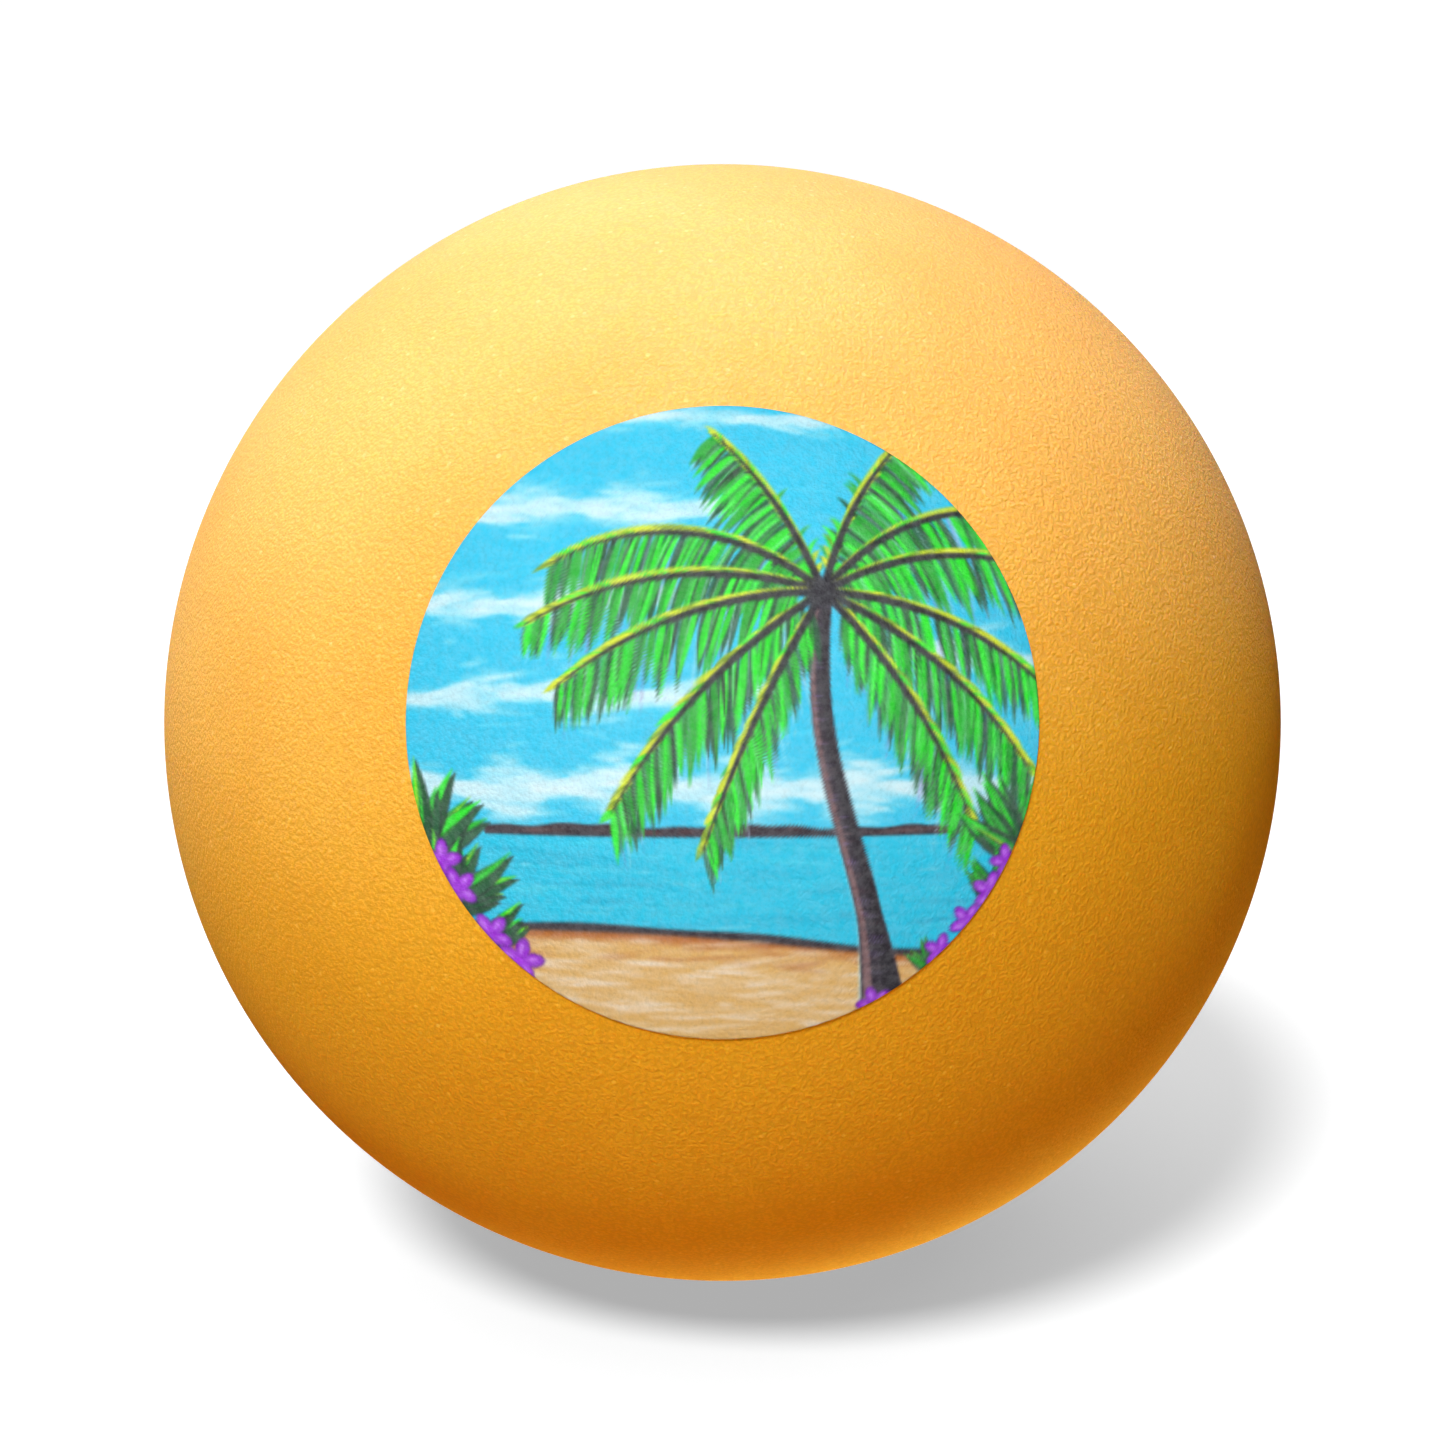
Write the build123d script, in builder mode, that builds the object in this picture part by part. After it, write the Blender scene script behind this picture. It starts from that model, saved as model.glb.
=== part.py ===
"""Table tennis ball, 40 mm, seamed, with a round print.

The ball is two moulded ABS half shells joined at a lap. The rear half carries a thin lip inside
its rim and the front half slips over it. Cement fills the lap, the butt joint outside it and a
small bead inside. A white base coat and a colour ink coat lie over the front pole.

Millimetres, +Z up, origin at the ball's centre. The pole axis runs through both poles and the
centre of the print. It stands PRINT_TILT above the horizontal, so the print faces -Y and a
little up. Every piece is a body of revolution about that axis. Sections are drawn on one plane:
its X is the distance from the axis and its Y is the height along it, with the seam at height 0.
"""

import os
from math import asin, cos, degrees, radians, sin, sqrt

from build123d import *

# The ball
BALL_DIAMETER = 40.0
WALL = 0.50
PRINT_TILT = 11.2  # degrees from the horizontal to the pole axis

# The print on the front pole
PRINT_DIAMETER = 19.2  # along the ball's surface
BASE_COAT = 0.03
INK_COAT = 0.03

# The joint at the seam
CEMENT_FILM = 0.05  # thickness of the cement, both in the butt joint and in the lap
EDGE_CHAMFER = 0.06  # on the outer edge of both rims
GROOVE_FILL = 0.5  # share of that chamfer which the cement covers
LEAD_IN = 0.12  # chamfer on the inner edge of the front rim
LIP_THICKNESS = 0.28
LIP_HEIGHT = 1.20  # from the seam into the front half
LIP_CHAMFER = 0.06  # on the outer edge of the lip's end
LIP_ROOT = 1.50  # depth of the thickened band behind the seam
ROOT_RAMP = 0.50  # length over which that band runs out
BEAD_LEG = 0.12  # cement squeezed out past the lip's end

# Worked out from them
OUTER = BALL_DIAMETER / 2
INNER = OUTER - WALL
LIP_OUTER = INNER - CEMENT_FILM
LIP_INNER = LIP_OUTER - LIP_THICKNESS
HALF_FILM = CEMENT_FILM / 2
BASE_TOP = OUTER + BASE_COAT
INK_TOP = BASE_TOP + INK_COAT
PRINT_ANGLE = degrees(PRINT_DIAMETER / 2 / OUTER)

tilt = radians(PRINT_TILT)
pole_axis = Axis((0, 0, 0), (0, -cos(tilt), sin(tilt)))
section = Plane(origin=(0, 0, 0), x_dir=(1, 0, 0), z_dir=(0, -sin(tilt), -cos(tilt)))


def on_sphere(radius, height):
    """Section point on the sphere of this radius, at this height."""
    return (sqrt(radius**2 - height**2), height)


def from_pole(radius, angle):
    """Section point on the sphere of this radius, this many degrees from the front pole."""
    return (radius * sin(radians(angle)), radius * cos(radians(angle)))


def sphere_arc(radius, start_height, end_height):
    """Arc of the sphere's section between two heights, drawn into the current sketch."""
    start = degrees(asin(start_height / radius))
    end = degrees(asin(end_height / radius))
    CenterArc((0, 0), radius, start, end - start)


def between(start, end, share):
    """Point this share of the way along a straight line."""
    return (start[0] + share * (end[0] - start[0]), start[1] + share * (end[1] - start[1]))


def mirrored(point):
    """The same section point on the other side of the seam."""
    return (point[0], -point[1])


def coat_outline(bottom_radius, top_radius):
    """Closed section of a round coat over the front pole, drawn into the current sketch."""
    bottom_edge = from_pole(bottom_radius, PRINT_ANGLE)
    top_edge = from_pole(top_radius, PRINT_ANGLE)
    sphere_arc(bottom_radius, bottom_radius, bottom_edge[1])
    Line(bottom_edge, top_edge)
    sphere_arc(top_radius, top_edge[1], top_radius)
    Line((0, top_radius), (0, bottom_radius))


# Corners that the pieces share at the joint
rim_outer = (on_sphere(OUTER, HALF_FILM)[0] - EDGE_CHAMFER, HALF_FILM)
rim_crest = on_sphere(OUTER, HALF_FILM + EDGE_CHAMFER)
cement_crest = between(rim_outer, rim_crest, GROOVE_FILL)
front_rim_inner = (on_sphere(INNER, HALF_FILM)[0] + LEAD_IN, HALF_FILM)
lead_in_end = on_sphere(INNER, HALF_FILM + LEAD_IN)
lip_foot = on_sphere(LIP_OUTER, -HALF_FILM)
lip_shoulder = on_sphere(LIP_OUTER, LIP_HEIGHT - LIP_CHAMFER)
lip_end_outer = (on_sphere(LIP_OUTER, LIP_HEIGHT)[0] - LIP_CHAMFER, LIP_HEIGHT)
lip_end_inner = on_sphere(LIP_INNER, LIP_HEIGHT)
bead_foot = (lip_end_outer[0] - BEAD_LEG, LIP_HEIGHT)
bead_top = on_sphere(INNER, LIP_HEIGHT + BEAD_LEG)
ramp_start = on_sphere(LIP_INNER, ROOT_RAMP - LIP_ROOT)
ramp_end = on_sphere(INNER, -LIP_ROOT)

# Front half shell: plain inside, so that it slips over the rear half's lip
with BuildPart() as front_half_shell:
    with BuildSketch(section):
        with BuildLine():
            sphere_arc(OUTER, rim_crest[1], OUTER)
            Line((0, OUTER), (0, INNER))
            sphere_arc(INNER, INNER, lead_in_end[1])
            Polyline(lead_in_end, front_rim_inner, rim_outer, rim_crest)
        make_face()
    revolve(axis=pole_axis)

# Rear half shell: a band inside the rim thickens the wall and rises past the seam as the lip
with BuildPart() as rear_half_shell:
    with BuildSketch(section):
        with BuildLine():
            sphere_arc(OUTER, -rim_crest[1], -OUTER)
            Line((0, -OUTER), (0, -INNER))
            sphere_arc(INNER, -INNER, ramp_end[1])
            Line(ramp_end, ramp_start)
            sphere_arc(LIP_INNER, ramp_start[1], LIP_HEIGHT)
            Polyline(lip_end_inner, lip_end_outer, lip_shoulder)
            sphere_arc(LIP_OUTER, lip_shoulder[1], -HALF_FILM)
            Polyline(lip_foot, mirrored(rim_outer), mirrored(rim_crest))
        make_face()
    revolve(axis=pole_axis)

# Seam cement: fills the lap, the butt joint and half of the outer groove, with a bead inside
with BuildPart() as seam_cement:
    with BuildSketch(section):
        with BuildLine():
            Polyline(mirrored(cement_crest), cement_crest, rim_outer, front_rim_inner, lead_in_end)
            sphere_arc(INNER, lead_in_end[1], bead_top[1])
            Polyline(bead_top, bead_foot, lip_end_outer, lip_shoulder)
            sphere_arc(LIP_OUTER, lip_shoulder[1], -HALF_FILM)
            Polyline(lip_foot, mirrored(rim_outer), mirrored(cement_crest))
        make_face()
    revolve(axis=pole_axis)


# White base coat of the print
with BuildPart() as print_white_base:
    with BuildSketch(section):
        with BuildLine():
            coat_outline(OUTER, BASE_TOP)
        make_face()
    revolve(axis=pole_axis)

# Colour ink of the print
with BuildPart() as print_colour_ink:
    with BuildSketch(section):
        with BuildLine():
            coat_outline(BASE_TOP, INK_TOP)
        make_face()
    revolve(axis=pole_axis)

front_half_shell.part.label = "front_half_shell"
rear_half_shell.part.label = "rear_half_shell"
seam_cement.part.label = "seam_cement"
print_white_base.part.label = "print_white_base"
print_colour_ink.part.label = "print_colour_ink"

os.makedirs("parts", exist_ok=True)
export_step(front_half_shell.part, "parts/front_half_shell.step")
export_step(rear_half_shell.part, "parts/rear_half_shell.step")
export_step(seam_cement.part, "parts/seam_cement.step")
export_step(print_white_base.part, "parts/print_white_base.step")
export_step(print_colour_ink.part, "parts/print_colour_ink.step")
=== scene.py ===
"""Looks of the table tennis ball: two grained plastic half shells, the seam and the round print.

Metres, +Z up, origin at the ball's centre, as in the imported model. Sizes below are in millimetres
and turn into metres where points are made. The pole axis runs through the centre of the print.
The print's artwork is drawn on a flat disc: u runs right, v runs up, and both are millimetres
along the ball's surface. It is wrapped onto the ball around the pole.
"""

import math
import random

import bpy
import numpy
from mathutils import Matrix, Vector


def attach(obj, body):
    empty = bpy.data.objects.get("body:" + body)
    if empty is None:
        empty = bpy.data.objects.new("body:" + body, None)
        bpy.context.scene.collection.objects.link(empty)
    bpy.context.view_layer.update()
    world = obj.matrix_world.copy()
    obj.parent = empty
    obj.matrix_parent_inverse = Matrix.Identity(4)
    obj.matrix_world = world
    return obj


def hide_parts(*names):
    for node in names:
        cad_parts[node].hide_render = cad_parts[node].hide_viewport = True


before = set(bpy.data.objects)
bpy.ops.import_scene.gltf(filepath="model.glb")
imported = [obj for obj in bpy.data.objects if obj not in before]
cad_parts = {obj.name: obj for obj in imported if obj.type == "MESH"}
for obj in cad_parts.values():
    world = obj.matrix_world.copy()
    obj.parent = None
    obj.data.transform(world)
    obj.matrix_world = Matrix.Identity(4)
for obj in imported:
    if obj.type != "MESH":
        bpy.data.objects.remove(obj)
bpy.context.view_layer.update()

# ---------------------------------------------------------------- sizes, as in the CAD model
MM = 0.001
BALL_RADIUS = 20.0
WALL = 0.50
PRINT_TILT = math.radians(11.2)  # from the horizontal to the pole axis
PRINT_RADIUS = 9.6  # along the ball's surface
COAT = 0.03  # thickness of each coat of the print
BASE_TOP = BALL_RADIUS + COAT
INK_TOP = BASE_TOP + COAT
CEMENT_FILM = 0.05  # thickness of the cement, both between the rims and round the lip
HALF_FILM = CEMENT_FILM / 2
EDGE_ROUND = 0.06  # on the outer edge of both rims, a chamfer in the CAD model
LEAD_IN = 0.12  # chamfer on the inner edge of the front rim
LIP_THICKNESS = 0.28
LIP_OUTER = BALL_RADIUS - WALL - CEMENT_FILM
LIP_INNER = LIP_OUTER - LIP_THICKNESS
LIP_HEIGHT = 1.20  # from the seam into the front half
LIP_CHAMFER = 0.06  # on the outer edge of the lip's end
LIP_ROOT = 1.50  # depth of the thickened band behind the seam
ROOT_RAMP = 0.50  # length over which that band runs out
BEAD_LEG = 0.12  # cement squeezed out past the lip's end

POLE = Vector((0, -math.cos(PRINT_TILT), math.sin(PRINT_TILT)))
RIGHT = Vector((1, 0, 0))
UP = Vector((0, math.sin(PRINT_TILT), math.cos(PRINT_TILT)))


# ---------------------------------------------------------------- mesh helpers
def around_pole(distance, height, turn):
    """Point in metres at this distance from the pole axis and height along it."""
    out = RIGHT * math.cos(turn) + UP * math.sin(turn)
    return (out * distance + POLE * height) * MM


def on_ball(radius, u, v):
    """Point in metres over the print's disc point (u, v), on the sphere of this radius."""
    reach = math.hypot(u, v)
    angle = reach / BALL_RADIUS
    if reach == 0:
        return POLE * radius * MM
    out = (RIGHT * u + UP * v) / reach
    return (out * math.sin(angle) + POLE * math.cos(angle)) * radius * MM


def add_object(name, points, faces, material):
    """New mesh object with smooth shading and one material."""
    mesh = bpy.data.meshes.new(name)
    mesh.from_pydata(points, [], faces)
    mesh.materials.append(material)
    mesh.validate()
    mesh.shade_smooth()
    piece = bpy.data.objects.new(name, mesh)
    bpy.context.scene.collection.objects.link(piece)
    return piece


def sphere_points(radius, start_height, end_height, count):
    """Section points (distance, height) along a sphere, evenly spaced in angle."""
    start = math.asin(start_height / radius)
    end = math.asin(end_height / radius)
    angles = [start + (end - start) * i / count for i in range(count + 1)]
    return [(max(radius * math.cos(a), 0.0), radius * math.sin(a)) for a in angles]


SHARP_EDGE = math.radians(35)  # edges of a turned piece that bend more than this stay crisp
ON_AXIS = 1e-6  # millimetres, a point nearer to the pole axis than this lies on it


def lathe(name, section, turns, material, shift=None):
    """Turn an open or closed section about the pole axis.

    section is a list of (distance, height). A point on the axis becomes one vertex. shift, if
    given, moves each point: it takes the point's index and the turn and returns a new point.
    """
    points, rings, faces = [], [], []
    for i, (distance, height) in enumerate(section):
        if distance < ON_AXIS:
            rings.append([len(points)] * turns)
            points.append(around_pole(0, height, 0))
            continue
        rings.append(list(range(len(points), len(points) + turns)))
        for k in range(turns):
            turn = 2 * math.pi * k / turns
            place = shift(i, turn) if shift else (distance, height)
            points.append(around_pole(*place, turn))
    closed = section[0][0] > ON_AXIS and section[-1][0] > ON_AXIS
    pairs = list(zip(rings, rings[1:])) + ([(rings[-1], rings[0])] if closed else [])
    for low, high in pairs:
        for k in range(turns):
            after = (k + 1) % turns
            corners = [low[k], low[after], high[after], high[k]]
            face = list(dict.fromkeys(corners))
            if len(face) > 2:
                faces.append(face)
    piece = add_object(name, points, faces, material)
    piece.data.set_sharp_from_angle(angle=SHARP_EDGE)
    return piece


# ---------------------------------------------------------------- node helpers
def new_material(name):
    """New material, with its node tree and its Principled shader."""
    material = bpy.data.materials.new(name)
    material.use_nodes = True
    tree = material.node_tree
    shader = tree.nodes["Principled BSDF"]
    return material, tree, shader


def node(tree, kind, inputs=None, **settings):
    """Add a node. inputs holds values or output sockets by input name or number."""
    made = tree.nodes.new(kind)
    for key, value in settings.items():
        setattr(made, key, value)
    for key, value in (inputs or {}).items():
        if isinstance(value, bpy.types.NodeSocket):
            tree.links.new(value, made.inputs[key])
        else:
            made.inputs[key].default_value = value
    return made


def maths(tree, operation, a, b):
    """Output of a Math node."""
    return node(tree, "ShaderNodeMath", {0: a, 1: b}, operation=operation).outputs[0]


def blend(tree, share, a, b):
    """Colour mixed from a to b by share."""
    made = node(tree, "ShaderNodeMix", {0: share, 6: a, 7: b}, data_type="RGBA")
    return made.outputs[2]


def remap(tree, value, low, high, to_low=0.0, to_high=1.0, smooth=True):
    """Value taken from low..high to to_low..to_high."""
    kind = "SMOOTHSTEP" if smooth else "LINEAR"
    made = node(tree, "ShaderNodeMapRange", {0: value, 1: low, 2: high, 3: to_low, 4: to_high},
                interpolation_type=kind)
    return made.outputs[0]


def colour(red, green, blue):
    """Linear colour from the usual 0..255 values."""
    def linear(value):
        value /= 255
        return value / 12.92 if value <= 0.04045 else ((value + 0.055) / 1.055) ** 2.4
    return (linear(red), linear(green), linear(blue), 1.0)


def ball_place(tree):
    """Object coordinates turned so that X is u, Z is v and Y runs along the pole axis."""
    place = node(tree, "ShaderNodeTexCoord").outputs["Object"]
    return node(tree, "ShaderNodeMapping", {"Vector": place, "Rotation": (PRINT_TILT, 0, 0)}).outputs[0]


def noise(tree, place, size, detail=2.0, roughness=0.5):
    """Noise value whose features are about size millimetres across."""
    made = node(tree, "ShaderNodeTexNoise", {"Vector": place, "Scale": 1 / (size * MM),
                                             "Detail": detail, "Roughness": roughness})
    return made.outputs["Fac"]


GRAIN_SIZE = 0.12  # millimetres, one bump of the moulded grain
GRAIN_DEPTH = 0.015  # millimetres
CELL_GAP = GRAIN_SIZE * 1.25
CELL_SHARE = 0.55
FINE_SIZE = GRAIN_SIZE * 0.75
FINE_SHARE = 0.9
WANDER_SIZE = 0.35  # millimetres over which the cells drift out of line
WANDER_SHIFT = 0.10  # millimetres, scale of that drift
BUMP_GAIN = 3  # the bump node's distance for each unit of depth


def grain(tree, place, shader, depth):
    """Fine leathery grain of the shader: rounded cells broken up by noise. Returns its height."""
    wander = node(tree, "ShaderNodeTexNoise",
                  {"Vector": place, "Scale": 1 / (WANDER_SIZE * MM), "Detail": 1.0})
    offset = node(tree, "ShaderNodeVectorMath",
                  {0: wander.outputs["Color"], 1: (0.5, 0.5, 0.5)}, operation="SUBTRACT").outputs[0]
    offset = node(tree, "ShaderNodeVectorMath",
                  {0: offset, "Scale": WANDER_SHIFT * MM}, operation="SCALE").outputs[0]
    moved = node(tree, "ShaderNodeVectorMath", {0: place, 1: offset}, operation="ADD").outputs[0]
    cells = node(tree, "ShaderNodeTexVoronoi",
                 {"Vector": moved, "Scale": 1 / (CELL_GAP * MM), "Smoothness": 0.6},
                 feature="SMOOTH_F1")
    pits = maths(tree, "SUBTRACT", 1.0, cells.outputs["Distance"])
    fine = noise(tree, place, FINE_SIZE, detail=3.0, roughness=0.6)
    height = maths(tree, "ADD", maths(tree, "MULTIPLY", pits, CELL_SHARE),
                   maths(tree, "MULTIPLY", fine, FINE_SHARE))
    bump = node(tree, "ShaderNodeBump",
                {"Height": height, "Distance": depth * MM * BUMP_GAIN, "Strength": 1.0})
    tree.links.new(bump.outputs[0], shader.inputs["Normal"])
    return height


# ---------------------------------------------------------------- materials of the ball
TONE_PATCH = 9.0  # millimetres, slow changes of tone
WEAR_SIZE = 0.5  # millimetres, small changes of tone and of roughness
HOLLOW_PAINTED_SHADE = 0.30  # how much painted shade darkens the grain's deepest hollows
HOLLOW_PAINTED_SHADE_TONE = 0.6  # the painted shade's tone, as a share of the deep one
GLINT_SPECK_GAP = 0.50  # millimetres between the places where a tiny pale speck, a painted glint, may sit
GLINT_SPECK_TONE = colour(255, 214, 120)
GLINT_SPECK_STRENGTH = 0.45
GLOW_SHARE = 0.25  # share of the light that sinks in
GLOW_DEPTH = 3.0  # millimetres that it travels inside the plastic
GLOW_REACH = (1.0, 0.35, 0.08)  # the share of that for red, green and blue


def plastic(name, deep, pale, roughness, depth):
    """Matt moulded plastic: grain with painted shade in its hollows, slow changes of tone, painted glint
    specks and light that sinks in.
    """
    material, tree, shader = new_material(name)
    place = ball_place(tree)
    height = grain(tree, place, shader, depth)
    slow = noise(tree, place, TONE_PATCH, detail=3.0)
    wear = noise(tree, place, WEAR_SIZE, detail=4.0, roughness=0.7)
    tone = blend(tree, remap(tree, slow, 0.3, 0.7), deep, pale)
    worn = blend(tree, remap(tree, wear, 0.35, 0.75, 0.0, 0.25), tone, pale)
    # Painted shade: the colour is darkened in the grain's deepest hollows, standing in for the shade there
    painted_hollow_shade = remap(tree, height, 0.62, 0.90, HOLLOW_PAINTED_SHADE, 0.0)
    shaded = blend(tree, painted_hollow_shade, worn, tuple(c * HOLLOW_PAINTED_SHADE_TONE for c in deep[:3]) + (1.0,))
    # Painted glints: tiny pale specks laid into the colour, standing in for glints of light on the grain
    dots = node(tree, "ShaderNodeTexVoronoi", {"Vector": place, "Scale": 1 / (GLINT_SPECK_GAP * MM)})
    near = remap(tree, dots.outputs["Distance"], 0.10, 0.20, GLINT_SPECK_STRENGTH, 0.0)
    chosen = remap(tree, dots.outputs["Color"], 0.50, 0.60)
    glint_dotted = blend(tree, maths(tree, "MULTIPLY", near, chosen), shaded, GLINT_SPECK_TONE)
    tree.links.new(glint_dotted, shader.inputs["Base Color"])
    rough = remap(tree, wear, 0.3, 0.7, roughness - 0.05, roughness + 0.07)
    tree.links.new(rough, shader.inputs["Roughness"])
    shader.inputs["Subsurface Weight"].default_value = GLOW_SHARE
    shader.inputs["Subsurface Radius"].default_value = GLOW_REACH
    shader.inputs["Subsurface Scale"].default_value = GLOW_DEPTH * MM
    shader.inputs["Specular IOR Level"].default_value = 0.5
    return material


CEMENT_GRAIN = 0.004  # millimetres, the cement's grain is nearly smooth
shell_plastic = plastic("orange_plastic", colour(233, 176, 66), colour(239, 187, 80), 0.8, GRAIN_DEPTH)
cement_plastic = plastic("seam_cement", colour(222, 158, 50), colour(230, 168, 60), 0.7, CEMENT_GRAIN)


# ---------------------------------------------------------------- the ball's own pieces
TURNS = 288
CEMENT_TURNS = 720
OUTER_STEPS = 110  # from pole to rim
INNER_STEPS = 40
RIM_DISTANCE = math.sqrt(BALL_RADIUS**2 - HALF_FILM**2)


def rounded_rim(side):
    """Outer edge of a rim, from the sphere round to the rim's plane. side is 1 front, -1 rear."""
    steps = 4
    arc = []
    for i in range(steps + 1):
        a = math.pi / 2 * i / steps
        distance = RIM_DISTANCE - EDGE_ROUND * (1 - math.cos(a))
        arc.append((distance, side * (HALF_FILM + EDGE_ROUND * (1 - math.sin(a)))))
    return arc


INNER = BALL_RADIUS - WALL
inner_rim = math.sqrt(INNER**2 - HALF_FILM**2)
front_section = (
    sphere_points(BALL_RADIUS, BALL_RADIUS, HALF_FILM + EDGE_ROUND, OUTER_STEPS)[:-1]
    + rounded_rim(1)
    + [(inner_rim + LEAD_IN, HALF_FILM)]
    + sphere_points(INNER, HALF_FILM + LEAD_IN, INNER, INNER_STEPS)
)
rear_section = (
    sphere_points(BALL_RADIUS, -BALL_RADIUS, -(HALF_FILM + EDGE_ROUND), OUTER_STEPS)[:-1]
    + rounded_rim(-1)
    + sphere_points(LIP_OUTER, -HALF_FILM, LIP_HEIGHT - LIP_CHAMFER, 3)
    + [(math.sqrt(LIP_OUTER**2 - LIP_HEIGHT**2) - LIP_CHAMFER, LIP_HEIGHT)]
    + sphere_points(LIP_INNER, LIP_HEIGHT, ROOT_RAMP - LIP_ROOT, 4)
    + sphere_points(INNER, -LIP_ROOT, -INNER, INNER_STEPS)
)
front_shell = lathe("front_shell", front_section[::-1], TURNS, shell_plastic)
rear_shell = lathe("rear_shell", rear_section, TURNS, shell_plastic)

seam_draw = random.Random(7)
WAVE_SIZE = 0.006  # millimetres, how far one slow wave moves the cement's face. Quick ones move it less
waves = []
for count in (2, 5, 9, 17, 31, 58):  # waves in one turn
    waves.append((count, seam_draw.uniform(0, 2 * math.pi), WAVE_SIZE / count**0.4))
CEMENT_FACE = RIM_DISTANCE - EDGE_ROUND / 2  # half way down the groove
CEMENT_EDGE = 0.050  # half width of the face
CEMENT_CROWN = 0.006
lip_end = math.sqrt(LIP_OUTER**2 - LIP_HEIGHT**2) - LIP_CHAMFER
cement_section = (
    [(CEMENT_FACE, -CEMENT_EDGE), (CEMENT_FACE + CEMENT_CROWN, 0.0), (CEMENT_FACE, CEMENT_EDGE)]
    + [(RIM_DISTANCE - EDGE_ROUND, HALF_FILM), (inner_rim + LEAD_IN, HALF_FILM)]
    + sphere_points(INNER, HALF_FILM + LEAD_IN, LIP_HEIGHT + BEAD_LEG, 3)
    + [(lip_end - BEAD_LEG, LIP_HEIGHT), (lip_end, LIP_HEIGHT)]
    + sphere_points(LIP_OUTER, LIP_HEIGHT - LIP_CHAMFER, -HALF_FILM, 3)
    + [(RIM_DISTANCE - EDGE_ROUND, -HALF_FILM)]
)
FACE_POINTS = 3  # the first points of that section are the cement's outer face


def cement_shift(index, turn):
    """The cement's outer face wanders in and out a little round the seam."""
    distance, height = cement_section[index]
    if index < FACE_POINTS:
        distance += sum(size * math.sin(count * turn + start) for count, start, size in waves)
    return distance, height


cement_ring = lathe("cement_ring", cement_section, CEMENT_TURNS, cement_plastic, cement_shift)

for piece, cad_node in ((front_shell, "front_half_shell"), (rear_shell, "rear_half_shell"),
                        (cement_ring, "seam_cement")):
    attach(piece, "root")
    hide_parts(cad_node)


# ---------------------------------------------------------------- the print's artwork
# The artwork is painted on a square canvas in (u, v), stroke by stroke with soft brush edges. Later
# strokes lie over earlier ones. The ink layer's points then take their pigment from the canvas.
CELL = 0.05  # millimetres
REACH = 9.8
SIDE = int(2 * REACH / CELL) + 1
canvas = numpy.zeros((SIDE, SIDE, 3))
across = numpy.linspace(-REACH, REACH, SIDE)
canvas_u, canvas_v = numpy.meshgrid(across, across)
draw = random.Random(23)

SKY = (44, 190, 226)
SKY_LIGHT = (84, 208, 234)
CLOUD = (222, 238, 242)
CLOUD_SHADE = (150, 214, 230)
SEA = (32, 190, 222)
SEA_DEEP = (22, 158, 194)
SEA_LIGHT = (96, 212, 228)
LAND = (52, 38, 48)
LAND_LIGHT = (112, 66, 62)
SHORE_DARK = (50, 44, 52)
SAND = (216, 170, 100)
SAND_WET = (178, 104, 48)
SAND_LIGHT = (236, 226, 216)
BARK = (52, 44, 54)
BARK_DARK = (30, 24, 32)
BARK_LIGHT = (132, 98, 98)
SPINE = (36, 34, 42)
LEAF_SHADE = (30, 84, 50)
LEAF = (34, 168, 48)
LEAF_BRIGHT = (40, 228, 40)
LEAF_LIME = (206, 218, 36)
LEAF_OLIVE = (120, 150, 30)
HAZE = (176, 214, 226)
LILAC_HAZE = (150, 128, 196)
PETAL = (158, 48, 214)
PETAL_LIGHT = (198, 120, 238)
PETAL_DARK = (104, 24, 150)


def vary(tone, amount=10):
    """A tone made slightly lighter or darker by chance."""
    change = draw.uniform(-amount, amount)
    return tuple(min(255, max(0, c + change)) for c in tone)


def cover(area, share, tone):
    """Lay a tone over a part of the canvas, by this share at each cell."""
    canvas[area] += share[..., None] * (numpy.array(tone) - canvas[area])


def fill_below(height, tone, soft):
    """Fill the canvas below a height, which may vary with u, with an edge this soft."""
    share = numpy.clip((height - canvas_v) / soft + 0.5, 0, 1)
    cover(slice(None), share, tone)


def stroke(path, width, tone, opacity=1.0, start=0.35, end=0.0, belly=0.35, soft=0.07):
    """Brush stroke along a path.

    It is widest at belly, a share of the path's count of points, and narrows to the shares start
    and end of its width. opacity is its share of the tone, and soft is how far its edge fades.
    """
    last = len(path) - 1
    halves = []
    for i in range(last + 1):
        t = i / last
        if t < belly:
            grow = start + (1 - start) * math.sin(math.pi / 2 * t / belly)
        else:
            grow = end + (1 - end) * math.cos(math.pi / 2 * (t - belly) / (1 - belly))
        halves.append(width * grow / 2)
    margin = width / 2 + soft
    lows = [min(p[k] for p in path) - margin for k in (0, 1)]
    highs = [max(p[k] for p in path) + margin for k in (0, 1)]
    first = [max(0, int((low + REACH) / CELL)) for low in lows]
    past = [min(SIDE, int((high + REACH) / CELL) + 2) for high in highs]
    if first[0] >= past[0] or first[1] >= past[1]:
        return
    area = (slice(first[1], past[1]), slice(first[0], past[0]))
    u, v = canvas_u[area], canvas_v[area]
    share = numpy.zeros(u.shape)
    for (u0, v0), (u1, v1), w0, w1 in zip(path, path[1:], halves, halves[1:]):
        du, dv = u1 - u0, v1 - v0
        t = numpy.clip(((u - u0) * du + (v - v0) * dv) / (du * du + dv * dv + 1e-12), 0, 1)
        gap = numpy.hypot(u - u0 - t * du, v - v0 - t * dv)
        share = numpy.maximum(share, numpy.clip((w0 + (w1 - w0) * t - gap) / soft + 0.5, 0, 1))
    cover(area, share * opacity, tone)


def curve(start, heading, length, bend, steps):
    """Path from start, leaving at heading degrees and turning by bend degrees in all."""
    path = [start]
    u, v = start
    for i in range(steps):
        a = math.radians(heading + bend * (i + 0.5) / steps)
        u += math.cos(a) * length / steps
        v += math.sin(a) * length / steps
        path.append((u, v))
    return path


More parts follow.
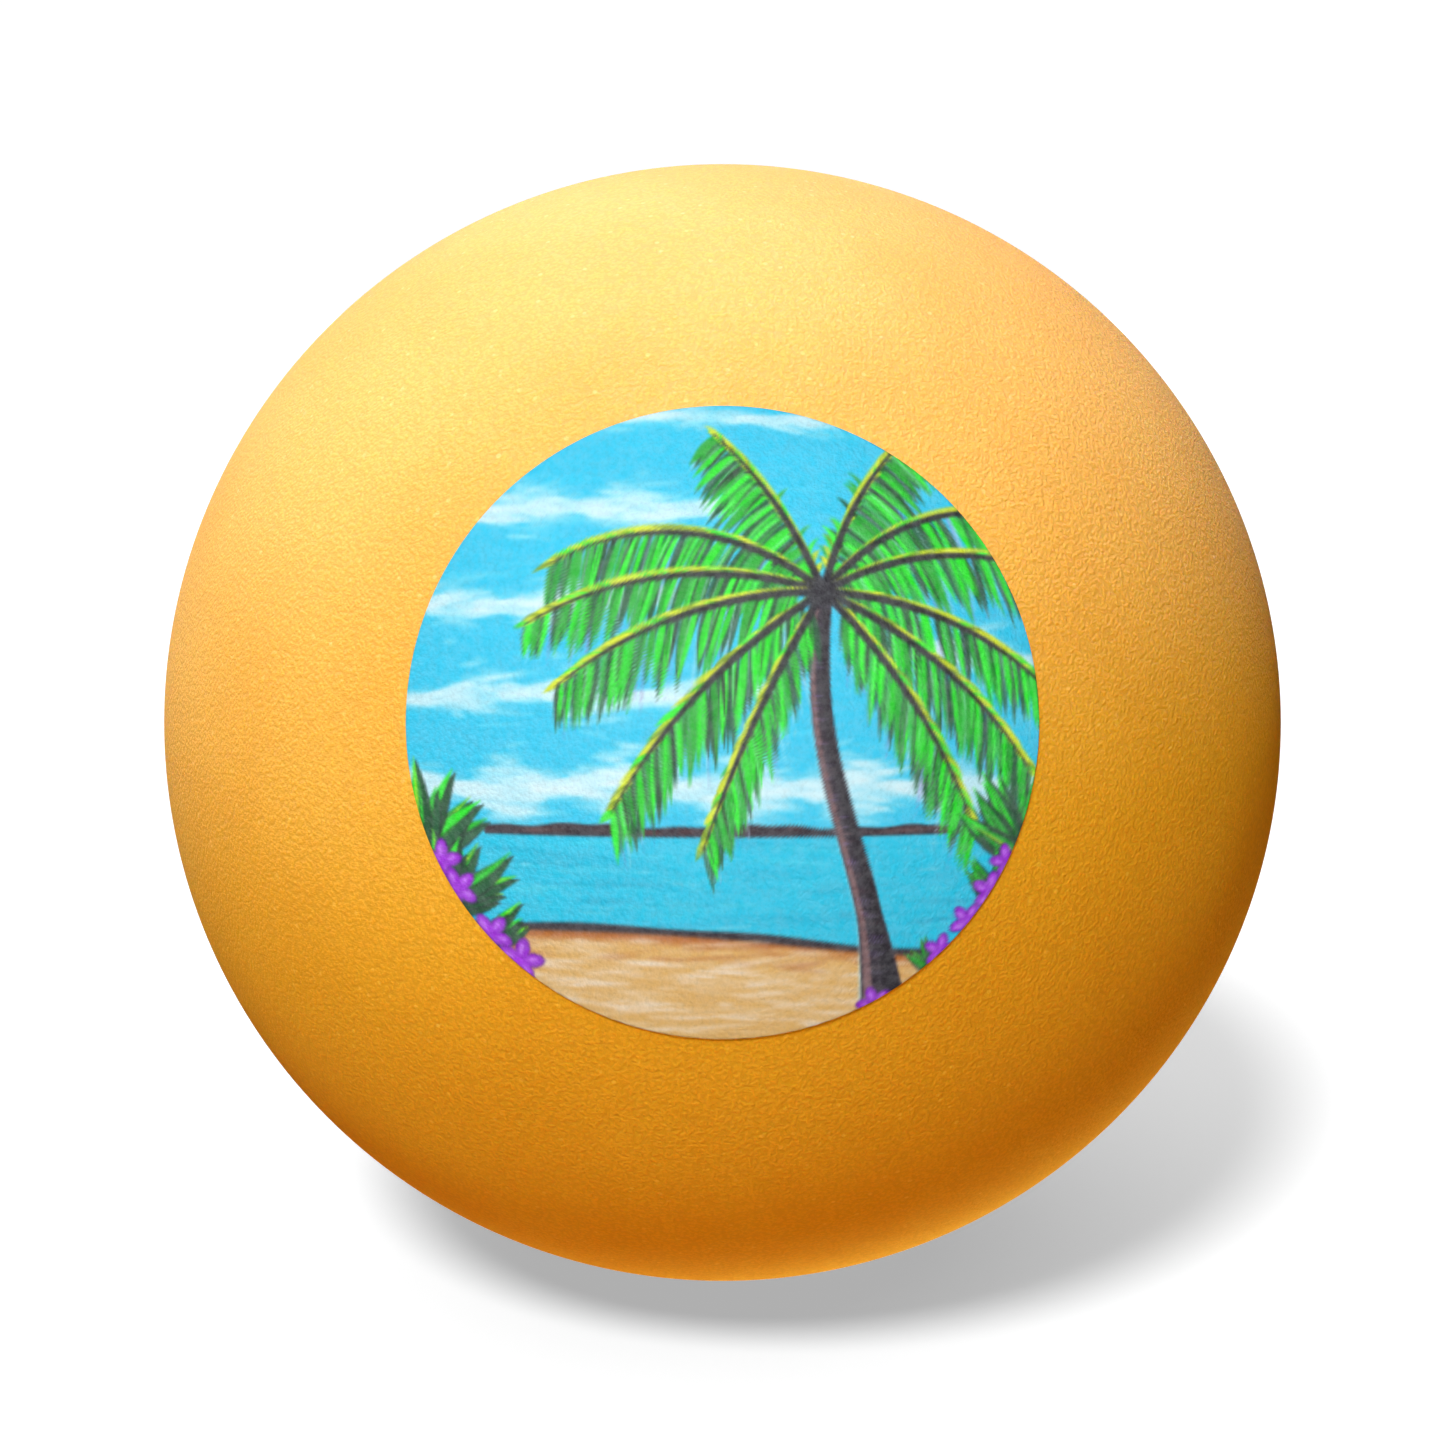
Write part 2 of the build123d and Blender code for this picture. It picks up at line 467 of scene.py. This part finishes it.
def turn_to(angle, target, share):
    """Angle in degrees moved this share of the way to a target, the short way round."""
    gap = (target - angle + 180) % 360 - 180
    return angle + gap * share


STREAK_BRUSH = (0.2, 0.1, 0.4, 0.12)  # start, end, belly and soft edge of a stroke
CLOUD_BRUSH = (0.2, 0.0, 0.4, 0.16)
LEAF_BRUSH = (0.2, 0.0, 0.4)


def streaks(count, low, high, tones, length, width, opacity, left=-PRINT_RADIUS):
    """Level brush streaks scattered over a band, from left to the print's right edge."""
    for _ in range(count):
        start = (draw.uniform(left - 1, PRINT_RADIUS), draw.uniform(low, high))
        path = curve(start, draw.uniform(-4, 4), draw.uniform(*length), draw.uniform(-5, 5), 4)
        stroke(path, draw.uniform(*width), draw.choice(tones), draw.uniform(*opacity), *STREAK_BRUSH)


# Sky
HORIZON = -3.15
canvas[:] = SKY
streaks(260, HORIZON, PRINT_RADIUS, [SKY_LIGHT, vary(SKY), (52, 202, 234)], (1.5, 5.0), (0.08, 0.35),
        (0.10, 0.35))


def cloud(left, right, middle, tall, count):
    """Long wisp of cloud, thinning to both ends and torn into streaks above and below."""
    for _ in range(count):
        t = draw.random()
        u = left + (right - left) * t
        swell = math.sin(math.pi * min(max(t, 0.02), 0.98)) ** 0.5
        swell *= 0.55 + 0.45 * math.sin(u * 1.9 + middle * 3)
        lean = 0.12 * math.sin(u * 0.9 + middle)
        v = middle + lean + tall * swell * draw.gauss(0.0, 0.34)
        path = curve((u - 0.5, v), draw.uniform(-10, 10), draw.uniform(0.3, 1.5), draw.uniform(-16, 16), 4)
        tone = CLOUD if draw.random() < 0.55 else CLOUD_SHADE
        stroke(path, draw.uniform(0.03, 0.24), tone, draw.uniform(0.08, 0.40), *CLOUD_BRUSH)


CLOUDS = (  # left, right, middle height, thickness and count of strokes
    (-7.8, 0.4, 6.3, 1.5, 800),
    (-9.6, -1.6, 3.5, 1.3, 700),
    (-9.9, 1.5, 0.8, 1.25, 900),
    (-4.5, 4.0, 9.2, 0.9, 360),
    (-9.9, 9.9, -1.9, 1.9, 2600),
    (5.0, 9.9, 2.0, 1.1, 360),
)
for place in CLOUDS:
    cloud(*place)

# Low land on the horizon
fill_below(HORIZON, SEA, 0.10)
crest = HORIZON + 0.20 + 0.05 * numpy.sin(across * 1.3 + 0.4) + 0.03 * numpy.sin(across * 3.7)
crest = numpy.where(across < -7.0, HORIZON - 0.2, crest - 0.10 * numpy.clip((across - 1) / 6, 0, 1))
LAND_SOFT = 0.08
land = numpy.clip((crest[None, :] - canvas_v) / LAND_SOFT + 0.5, 0, 1)
land *= numpy.clip((canvas_v - HORIZON + 0.12) / LAND_SOFT + 0.5, 0, 1)
cover(slice(None), land, LAND)
streaks(60, HORIZON - 0.02, HORIZON + 0.14, [LAND_LIGHT, BARK_DARK], (0.3, 1.2), (0.03, 0.07),
        (0.3, 0.7), -6.8)

# Sea
SEA_FOOT = -6.3
streaks(190, SEA_FOOT, HORIZON - 0.25, [SEA_DEEP, SEA, vary(SEA)], (1.2, 4.5), (0.05, 0.22), (0.15, 0.5))
streaks(90, SEA_FOOT, HORIZON - 0.2, [SEA_LIGHT, (58, 196, 224)], (0.6, 3.0), (0.03, 0.10), (0.15, 0.5))
streaks(26, -6.1, HORIZON - 0.3, [HAZE], (0.2, 1.0), (0.02, 0.05), (0.2, 0.6))


# Sand, with a wet edge and the dark line of the shore
def shore(u):
    """Height of the shore line: a low swelling of sand."""
    return -6.42 + 0.24 * numpy.cos((u + 1.4) * 0.33) - 0.055 * u


SAND_STROKES = 560
shore_line = shore(across)[None, :]
fill_below(shore_line + 0.13 + 0.04 * numpy.sin(across * 1.1)[None, :], SHORE_DARK, 0.10)
fill_below(shore_line - 0.10, SAND_WET, 0.14)
fill_below(shore_line - 0.34, SAND, 0.30)
for _ in range(SAND_STROKES):
    u = draw.uniform(-8, 8)
    depth = draw.random()
    v = float(shore(u)) - 0.28 - 3.0 * depth
    tones = [SAND_LIGHT, SAND_LIGHT, SAND] if depth > 0.22 else [SAND, SAND_WET, SAND_LIGHT]
    path = curve((u, v), draw.uniform(-6, 6), draw.uniform(0.4, 2.0), draw.uniform(-8, 8), 4)
    stroke(path, draw.uniform(0.04, 0.20), draw.choice(tones), draw.uniform(0.15, 0.5), *STREAK_BRUSH)

# Palm
CROWN = (2.9, 3.75)
FOOT = (4.9, -8.7)


def trunk_point(t):
    """Point on the trunk's middle line, from foot to crown."""
    sway = 0.25 * math.sin(2 * math.pi * t) - 0.50 * math.sin(math.pi * t)
    return (FOOT[0] + (CROWN[0] - FOOT[0]) * t + sway, FOOT[1] + (CROWN[1] - FOOT[1]) * t)


def trunk_half(t):
    """Half width of the trunk: a flared foot, then a slow taper."""
    return 0.24 + 0.16 * (1 - t) + 0.26 * max(0.0, 0.22 - t) / 0.22


TRUNK_LAYERS = (  # tone, sideways shift, share of the trunk's width, and opacity
    (HAZE, -0.22, 0.95, 0.35),
    (BARK, 0.0, 1.0, 1.0),
    (BARK_LIGHT, -0.72, 0.22, 0.75),
    (BARK_DARK, 0.55, 0.40, 0.6),
)
SCARS = 150


def trunk():
    """The trunk: dark, with a lit left edge and curved leaf scars."""
    steps = 40
    for tone, shift, share, opacity in TRUNK_LAYERS:
        for i in range(steps):
            ends = []
            for t in (i / steps, (i + 1.2) / steps):
                u, v = trunk_point(min(t, 1.0))
                ends.append((u + shift * trunk_half(t), v))
            width = 2 * trunk_half(i / steps) * share
            stroke(ends, width, vary(tone, 5), opacity, 1.0, 1.0, 0.5, 0.09)
    for _ in range(SCARS):
        t = draw.random() * 0.97
        half = trunk_half(t)
        u, v = trunk_point(t)
        path = curve((u - half * draw.uniform(0.3, 0.95), v), -20, half * draw.uniform(0.4, 1.4), 34, 4)
        tone = draw.choice([BARK_LIGHT, BARK_DARK, BARK_DARK, LILAC_HAZE])
        stroke(path, draw.uniform(0.02, 0.06), tone, draw.uniform(0.2, 0.6), 0.3)


def frond(heading, length, droop, reach):
    """One arching frond: hazy edge, shaded and bright leaflets, a lit top edge and the spine."""
    bend = turn_to(heading, -90, droop) - heading
    steps = 24
    spine = curve(CROWN, heading, length, bend, steps)
    side = 1 if math.cos(math.radians(heading)) >= 0 else -1

    def along(t):
        """Point and direction of the spine at a share of its length."""
        i = min(int(t * steps), steps - 1)
        f = t * steps - i
        (u0, v0), (u1, v1) = spine[i], spine[i + 1]
        return (u0 + (u1 - u0) * f, v0 + (v1 - v0) * f), heading + bend * t

    def leaflets(count, tones, long, splay, fall, width, opacity=(0.8, 1.0), first=0.08):
        """Leaflets along one side: splay turns them off the spine, fall pulls them down."""
        for i in range(count):
            t = first + (1.0 - first) * (i + draw.uniform(0.0, 1.0)) / count
            start, tangent = along(t)
            a = turn_to(tangent + splay + draw.uniform(-9, 9), -90, fall)
            size = long * (0.42 + 0.72 * math.sin(math.pi * (0.10 + 0.76 * t))) * draw.uniform(0.72, 1.12)
            path = curve(start, a, size, turn_to(a, -90, 0.30) - a, 5)
            stroke(path, width * draw.uniform(0.6, 1.2), vary(draw.choice(tones), 12),
                   draw.uniform(*opacity), 0.6, 0.0, 0.35, 0.06)

    under, over = -side, side
    leaflets(30, [HAZE, LILAC_HAZE, HAZE], reach * 1.10, under * 50, 0.55, 0.13, (0.25, 0.6), 0.10)
    leaflets(34, [LEAF_SHADE, LEAF_SHADE, LEAF], reach * 0.98, under * 46, 0.50, 0.26)
    leaflets(24, [LEAF_BRIGHT, LEAF_BRIGHT, LEAF], reach * 0.90, under * 44, 0.46, 0.22)
    leaflets(12, [SPINE, LEAF_SHADE], reach * 0.72, under * 46, 0.48, 0.09, (0.5, 0.9), 0.06)
    leaflets(10, [LILAC_HAZE, HAZE], reach * 0.85, under * 46, 0.50, 0.04, (0.3, 0.7), 0.2)
    leaflets(20, [LEAF, LEAF_OLIVE, LEAF_SHADE], reach * 0.32, over * 26, 0.05, 0.16)
    lift = 0.12
    stroke([(u, v + lift) for u, v in spine], 0.26, LEAF_LIME, 0.85, 0.1, 0.3, 0.65)
    edge_tones = [LEAF_LIME, LEAF_LIME, LEAF_LIME, LEAF_OLIVE, LEAF_BRIGHT]
    leaflets(60, edge_tones, reach * 0.38, over * 19, 0.0, 0.19, (0.7, 1.0), 0.08)
    leaflets(16, [SPINE, LEAF_SHADE], reach * 0.16, under * 20, 0.1, 0.10, (0.6, 0.9), 0.0)
    stroke(spine, 0.22, SPINE, 0.95, 1.0, 0.10, 0.05)


# Fronds stand all round the crown. The upright ones come first and the drooping ones lie over them.
# The last four of them lie over the trunk as well.
FRONDS = 12
UPRIGHT = 82  # degrees, the heading of the first frond
FROND_GAP = 26  # degrees between neighbours
STEEP = 0.8  # fronds that rise more than this are short and stiff
for i in range(FRONDS):
    swing = (i + 1) // 2 * (1 if i % 2 else -1)
    heading = UPRIGHT + swing * FROND_GAP + draw.uniform(-6, 6)
    steep = math.sin(math.radians(heading)) > STEEP
    length = (6.3 if steep else 8.6) + draw.uniform(-0.6, 0.5)
    droop = (0.15 if steep else 0.46) + draw.uniform(-0.06, 0.08)
    frond(heading, length, droop, draw.uniform(1.75, 2.2))
    if i == FRONDS - 5:
        trunk()
for heading in range(0, 360, 40):
    stroke(curve(CROWN, heading, 0.60, -20, 3), 0.36, SPINE, 0.9, 1.0, 0.2, 0.1, 0.12)


# Leaves and flowers at the lower edges
def leaf(root, heading, length, width):
    """Pointed leaf with a dark edge, a shaded half and a lit half."""
    middle = curve(root, heading, length, draw.uniform(-18, 18), 8)
    stroke(middle, width * 1.15, SPINE, 0.75, *LEAF_BRUSH)
    stroke(middle, width, vary(LEAF_SHADE), 1.0, *LEAF_BRUSH)
    lit = [(u - 0.14 * width, v + 0.16 * width) for u, v in middle]
    stroke(lit, width * 0.55, vary(draw.choice([LEAF_BRIGHT, LEAF])), 0.95, *LEAF_BRUSH)
    stroke(lit, width * 0.14, LEAF_LIME if draw.random() < 0.3 else LEAF_BRIGHT, 0.8, *LEAF_BRUSH)
    stroke(middle, 0.06, SPINE, 0.8, 0.6, 0.0, 0.2)


def tuft(root, headings, length):
    """Tuft of leaves from one root."""
    for heading in headings:
        for _ in range(2):
            leaf(root, heading + draw.uniform(-14, 14), length * draw.uniform(0.65, 1.1), length * 0.24)


PETALS = 5
PETAL_GAP = 360 / PETALS


def flower(middle, size, turn):
    """Generic flower: dark petals, brighter ones over them, and a pale streak on each."""
    for tone, grow, width in ((PETAL_DARK, 1.08, 0.74), (PETAL, 1.0, 0.62)):
        for i in range(PETALS):
            path = curve(middle, turn + PETAL_GAP * i, size * grow, 0, 5)
            stroke(path, size * width, vary(tone), 0.95, 0.3, 0.3, 0.6)
    for i in range(PETALS):
        heading = turn + PETAL_GAP * i + 5
        start = curve(middle, heading, size * 0.35, 0, 1)[-1]
        path = curve(start, heading, size * 0.5, 0, 4)
        stroke(path, size * 0.24, PETAL_LIGHT, 0.8, 0.3, 0.2, 0.6)


TUFTS = (  # root, headings of the leaves in degrees, and their length
    ((-9.2, -4.2), (22, 48, 72, 96), 3.0),
    ((-8.5, -5.5), (4, 30, 56, 84), 2.6),
    ((-7.4, -6.9), (12, 40, 66), 2.0),
    ((9.2, -4.2), (84, 108, 132, 158), 2.8),
    ((8.4, -5.6), (92, 120, 146), 1.8),
    ((6.3, -7.6), (66, 100, 130), 1.2),
)
FLOWERS = (  # middle, size and turn in degrees
    ((-8.5, -4.2), 0.62, 15),
    ((-8.0, -5.0), 0.60, 40),
    ((-7.0, -6.4), 0.62, 50),
    ((-6.1, -7.2), 0.66, 5),
    ((8.6, -4.2), 0.50, 30),
    ((8.1, -5.1), 0.55, 8),
    ((7.4, -6.0), 0.52, 60),
    ((6.6, -6.9), 0.50, 10),
    ((4.6, -8.5), 0.50, 40),
)
for root, headings, length in TUFTS:
    tuft(root, headings, length)
for middle, size, turn in FLOWERS:
    flower(middle, size, turn)


# ---------------------------------------------------------------- the print's pieces
INK_GRAIN = 0.8  # the grain shows through the ink, a little filled in
INK_GREY = (0.75, 0.77, 0.79, 1.0)
# Tone of the painted shade laid into the ink's grain hollows
INK_PAINTED_SHADE = (0.02, 0.02, 0.03, 1.0)


def finish_ink(tree, shader, pigment, place):
    """Shared looks of both coats: pigment, slight mottling, painted shade in the grain's hollows, satin
    surface and the ball's grain.
    """
    height = grain(tree, place, shader, GRAIN_DEPTH * INK_GRAIN)
    mottle = noise(tree, place, 0.30, detail=3.0, roughness=0.65)
    greyed = blend(tree, remap(tree, mottle, 0.3, 0.7, 0.0, 0.06), pigment, INK_GREY)
    # Painted shade: the ink's colour is darkened in the grain's low places
    low = remap(tree, height, 0.4, 0.85, 0.10, 0.0)
    tree.links.new(blend(tree, low, greyed, INK_PAINTED_SHADE), shader.inputs["Base Color"])
    tree.links.new(remap(tree, mottle, 0.3, 0.7, 0.56, 0.68), shader.inputs["Roughness"])
    shader.inputs["Specular IOR Level"].default_value = 0.35


base_ink, base_tree, base_shader = new_material("white_ink")
base_place = ball_place(base_tree)
yellowing = noise(base_tree, base_place, 2.0)
white = blend(base_tree, yellowing, colour(232, 230, 224), colour(242, 240, 234))
finish_ink(base_tree, base_shader, white, base_place)

colour_ink, ink_tree, ink_shader = new_material("colour_ink")
ink_place = ball_place(ink_tree)
pigment = node(ink_tree, "ShaderNodeAttribute", attribute_name="pigment").outputs["Color"]
finish_ink(ink_tree, ink_shader, pigment, ink_place)


EDGE_EASE = 0.010  # millimetres from the last point on top out to the edge
EDGE_DROP = 0.35  # share of a coat's height over which its edge falls to full width
INK_CREASE = math.radians(80)  # edges of a coat that bend more than this stay crisp


def coat(name, bottom, top, material, cells, inset):
    """Round coat of the print: an even grid of cells on top, a rounded edge and an underside.

    The square grid is mapped onto the disc ring by ring, so its outline is a true circle. The edge
    stands back from the print's radius by inset. Returns the object and the disc place (u, v) of
    each of its points.
    """
    edge = PRINT_RADIUS - inset
    places, levels, faces = [], [], []
    for j in range(cells + 1):
        for i in range(cells + 1):
            a, b = 2 * i / cells - 1, 2 * j / cells - 1
            if abs(a) > abs(b):
                reach, turn = a, math.pi / 4 * b / a
            elif b:
                reach, turn = b, math.pi / 2 - math.pi / 4 * a / b
            else:
                reach, turn = 0.0, 0.0
            reach *= edge - EDGE_EASE
            places.append((reach * math.cos(turn), reach * math.sin(turn)))
            levels.append(top)
    row = cells + 1
    for j in range(cells):
        for i in range(cells):
            corner = j * row + i
            faces.append((corner, corner + 1, corner + row + 1, corner + row))
    ring = list(range(row))
    ring += [j * row + cells for j in range(1, row)]
    ring += [cells * row + i for i in range(cells - 1, -1, -1)]
    ring += [j * row for j in range(cells - 1, 0, -1)]
    step = top - bottom
    for share, level in ((1.0, top - EDGE_DROP * step), (1.0, bottom), (0.66, bottom), (0.33, bottom)):
        fresh = []
        for index in ring:
            u, v = places[index]
            scale = edge / math.hypot(u, v) * share
            fresh.append(len(places))
            places.append((u * scale, v * scale))
            levels.append(level)
        for k in range(len(ring)):
            after = (k + 1) % len(ring)
            faces.append((ring[after], ring[k], fresh[k], fresh[after]))
        ring = fresh
    centre = len(places)
    places.append((0.0, 0.0))
    levels.append(bottom)
    for k in range(len(ring)):
        faces.append((ring[(k + 1) % len(ring)], ring[k], centre))
    points = [on_ball(level, u, v) for (u, v), level in zip(places, levels)]
    piece = add_object(name, points, faces, material)
    piece.data.set_sharp_from_angle(angle=INK_CREASE)
    return piece, places


BASE_CELLS = 90
INK_CELLS = 296
BASE_INSET = 0.02  # the ink reaches a little past its white base
print_base, _ = coat("print_base", BALL_RADIUS, BASE_TOP, base_ink, BASE_CELLS, BASE_INSET)
print_ink, ink_places = coat("print_ink", BASE_TOP, INK_TOP, colour_ink, INK_CELLS, 0.0)

# Each point of the ink takes the canvas's tone at its place, between the four nearest cells
where = numpy.array(ink_places)
grid = (where + REACH) / CELL
low = numpy.clip(grid.astype(int), 0, SIDE - 2)
part = grid - low
du, dv = part[:, :1], part[:, 1:]
left, under = low[:, 0], low[:, 1]
under_tones = canvas[under, left] * (1 - du) + canvas[under, left + 1] * du
over_tones = canvas[under + 1, left] * (1 - du) + canvas[under + 1, left + 1] * du
tones = under_tones * (1 - dv) + over_tones * dv
tones = numpy.clip(tones / 255, 0, 1)
tones = numpy.where(tones <= 0.04045, tones / 12.92, ((tones + 0.055) / 1.055) ** 2.4)
pigment_of = print_ink.data.color_attributes.new("pigment", "FLOAT_COLOR", "POINT")
pigment_of.data.foreach_set("color", numpy.hstack([tones, numpy.ones((len(tones), 1))]).ravel())

for piece, cad_node, slot in ((print_base, "print_white_base", "white_ink"),
                              (print_ink, "print_colour_ink", "colour_ink")):
    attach(piece, "root")
    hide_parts(cad_node)

# ---------------------------------------------------------------- camera
# It looks along the pole axis, at the centre of the ball.
VIEW_DISTANCE = 86.3
LENS = 58.4
SENSOR_WIDTH = 36
camera_data = bpy.data.cameras.new("camera")
camera_data.lens = LENS
camera_data.sensor_width = SENSOR_WIDTH
camera_data.clip_start = 0.001
camera_data.clip_end = 20
camera = bpy.data.objects.new("camera", camera_data)
bpy.context.scene.collection.objects.link(camera)
camera.location = POLE * VIEW_DISTANCE * MM
camera.rotation_euler = (math.pi / 2 - PRINT_TILT, 0, 0)
bpy.context.scene.camera = camera

# ---------------------------------------------------------------- floor
FLOOR_WHITE = 0.85  # the floor's tone as the camera sees it
FLOOR_BOUNCE = 0.04  # its tone for the light that it throws back up at the ball
FLOOR_LIFT = 0.43  # light of its own, seen by the camera only, that keeps the shadow pale
FLOOR_SIZE = 3.0  # metres
floor_material, floor_tree, floor_shader = new_material("floor")
floor_tree.nodes.remove(floor_shader)
seen = node(floor_tree, "ShaderNodeLightPath").outputs["Is Camera Ray"]
tone = remap(floor_tree, seen, 0.0, 1.0, FLOOR_BOUNCE, FLOOR_WHITE, smooth=False)
matt = node(floor_tree, "ShaderNodeBsdfDiffuse", {"Color": tone})
lift = maths(floor_tree, "MULTIPLY", seen, FLOOR_LIFT)
glow = node(floor_tree, "ShaderNodeEmission", {"Color": (1, 1, 1, 1), "Strength": lift})
both = node(floor_tree, "ShaderNodeAddShader", {0: matt.outputs[0], 1: glow.outputs[0]})
floor_tree.links.new(both.outputs[0], floor_tree.nodes["Material Output"].inputs["Surface"])
floor_z = -BALL_RADIUS * MM
half = FLOOR_SIZE / 2
corners = [(x * half, y * half, floor_z) for x, y in ((-1, -1), (1, -1), (1, 1), (-1, 1))]
floor = add_object("floor", corners, [(0, 1, 2, 3)], floor_material)


# ---------------------------------------------------------------- light
# Every lamp is linked to what it lights, so that the floor stays neutral under the tinted lamps.
def linked(name, pieces):
    """Collection of pieces for a lamp to light."""
    group = bpy.data.collections.new(name)
    for piece in pieces:
        group.objects.link(piece)
    return group


shell_group = linked("lit_shells", [front_shell, rear_shell, cement_ring])
print_group = linked("lit_print", [print_base, print_ink])
floor_group = linked("lit_floor", [floor])


def soft_lamp(name, group, toward, strength, spread, diffuse=1.0, gloss=0.0, tint=(1, 1, 1), shadow=True):
    """Directional studio lamp, spread degrees wide, standing in the direction toward."""
    data = bpy.data.lights.new(name, "SUN")
    data.energy = strength
    data.angle = math.radians(spread)
    data.color = tint
    data.diffuse_factor = diffuse
    data.specular_factor = gloss
    data.use_shadow = shadow
    data.cycles.use_multiple_importance_sampling = False
    lamp = bpy.data.objects.new(name, data)
    lamp.rotation_euler = Vector(toward).to_track_quat("Z", "Y").to_euler()
    lamp.light_linking.receiver_collection = group
    bpy.context.scene.collection.objects.link(lamp)


KEY = (-0.243, -0.656, 0.714)  # toward the main lamp, found from the shadow's place on the floor
# Tints. They match the photograph's colours on orange plastic, and aren't those of real lamps.
WARM = (1.0, 0.90, 0.0)  # keeps the lit side from going grey
DEEP = (1.0, 0.72, 0.0)  # keeps the dark side saturated
COOL = (0.7, 0.6, 6.5)  # turns the top of the ball to cream
BOUNCE = (1.0, 0.72, 0.1)  # the thin bright edge at the lower right
GLOW = (1.0, 0.34, 0.0)  # light that comes through the thin wall, stood for by warm fill

# The ball's own lamps. key and front light the side in view. sheen and rim_sheen leave out plain
# diffuse light. overhead and sky light the top, glow_low the underside, bounce_limb the lower
# edge from behind, and back the side away from the camera.
soft_lamp("key", shell_group, KEY, 2.55, 14, tint=WARM)
soft_lamp("front", shell_group, (0.25, -0.96, 0.1), 0.66, 30, tint=DEEP)
soft_lamp("sheen", shell_group, KEY, 0.94, 14, diffuse=0.0, gloss=1.0)
soft_lamp("rim_sheen", shell_group, (-0.16, 0.36, 0.92), 1.4, 40, diffuse=0.0, gloss=1.0)
soft_lamp("overhead", shell_group, (-0.42, -0.15, 0.89), 1.25, 26)
soft_lamp("sky", shell_group, (-0.20, 0.02, 0.98), 0.95, 20, tint=COOL)
soft_lamp("glow_low", shell_group, (0, -0.2, -1), 1.95, 120, tint=GLOW, shadow=False)
soft_lamp("bounce_limb", shell_group, (0.15, 0.75, -0.64), 2.4, 20, tint=BOUNCE, shadow=False)
soft_lamp("back", shell_group, -POLE, 1.5, 30)

# The print's lamps
soft_lamp("print_front", print_group, (-0.1, -1, 0.15), 5.0, 60)
soft_lamp("print_overhead", print_group, (-0.3, -0.3, 0.9), 0.9, 80, gloss=0.2)

# The floor's lamps: the key throws the shadow
soft_lamp("floor_key", floor_group, KEY, 2.6, 14)
soft_lamp("floor_soft", floor_group, (0, 0, 1), 1.12, 100)

# The ball throws a shadow but no colour on the floor, and the floor doesn't mirror in the ball
for piece in (front_shell, rear_shell, cement_ring, print_base, print_ink):
    piece.visible_diffuse = False
floor.visible_glossy = False

# White all round to the camera, and dark to the ball
AIR_WHITE = 1.02
world = bpy.data.worlds.new("studio")
bpy.context.scene.world = world
world.use_nodes = True
air = world.node_tree
seen = node(air, "ShaderNodeLightPath").outputs["Is Camera Ray"]
background = air.nodes["Background"]
background.inputs["Color"].default_value = (1, 1, 1, 1)
air.links.new(maths(air, "MULTIPLY", seen, AIR_WHITE), background.inputs["Strength"])

bpy.context.scene.view_settings.view_transform = "Standard"
bpy.context.scene.view_settings.look = "None"
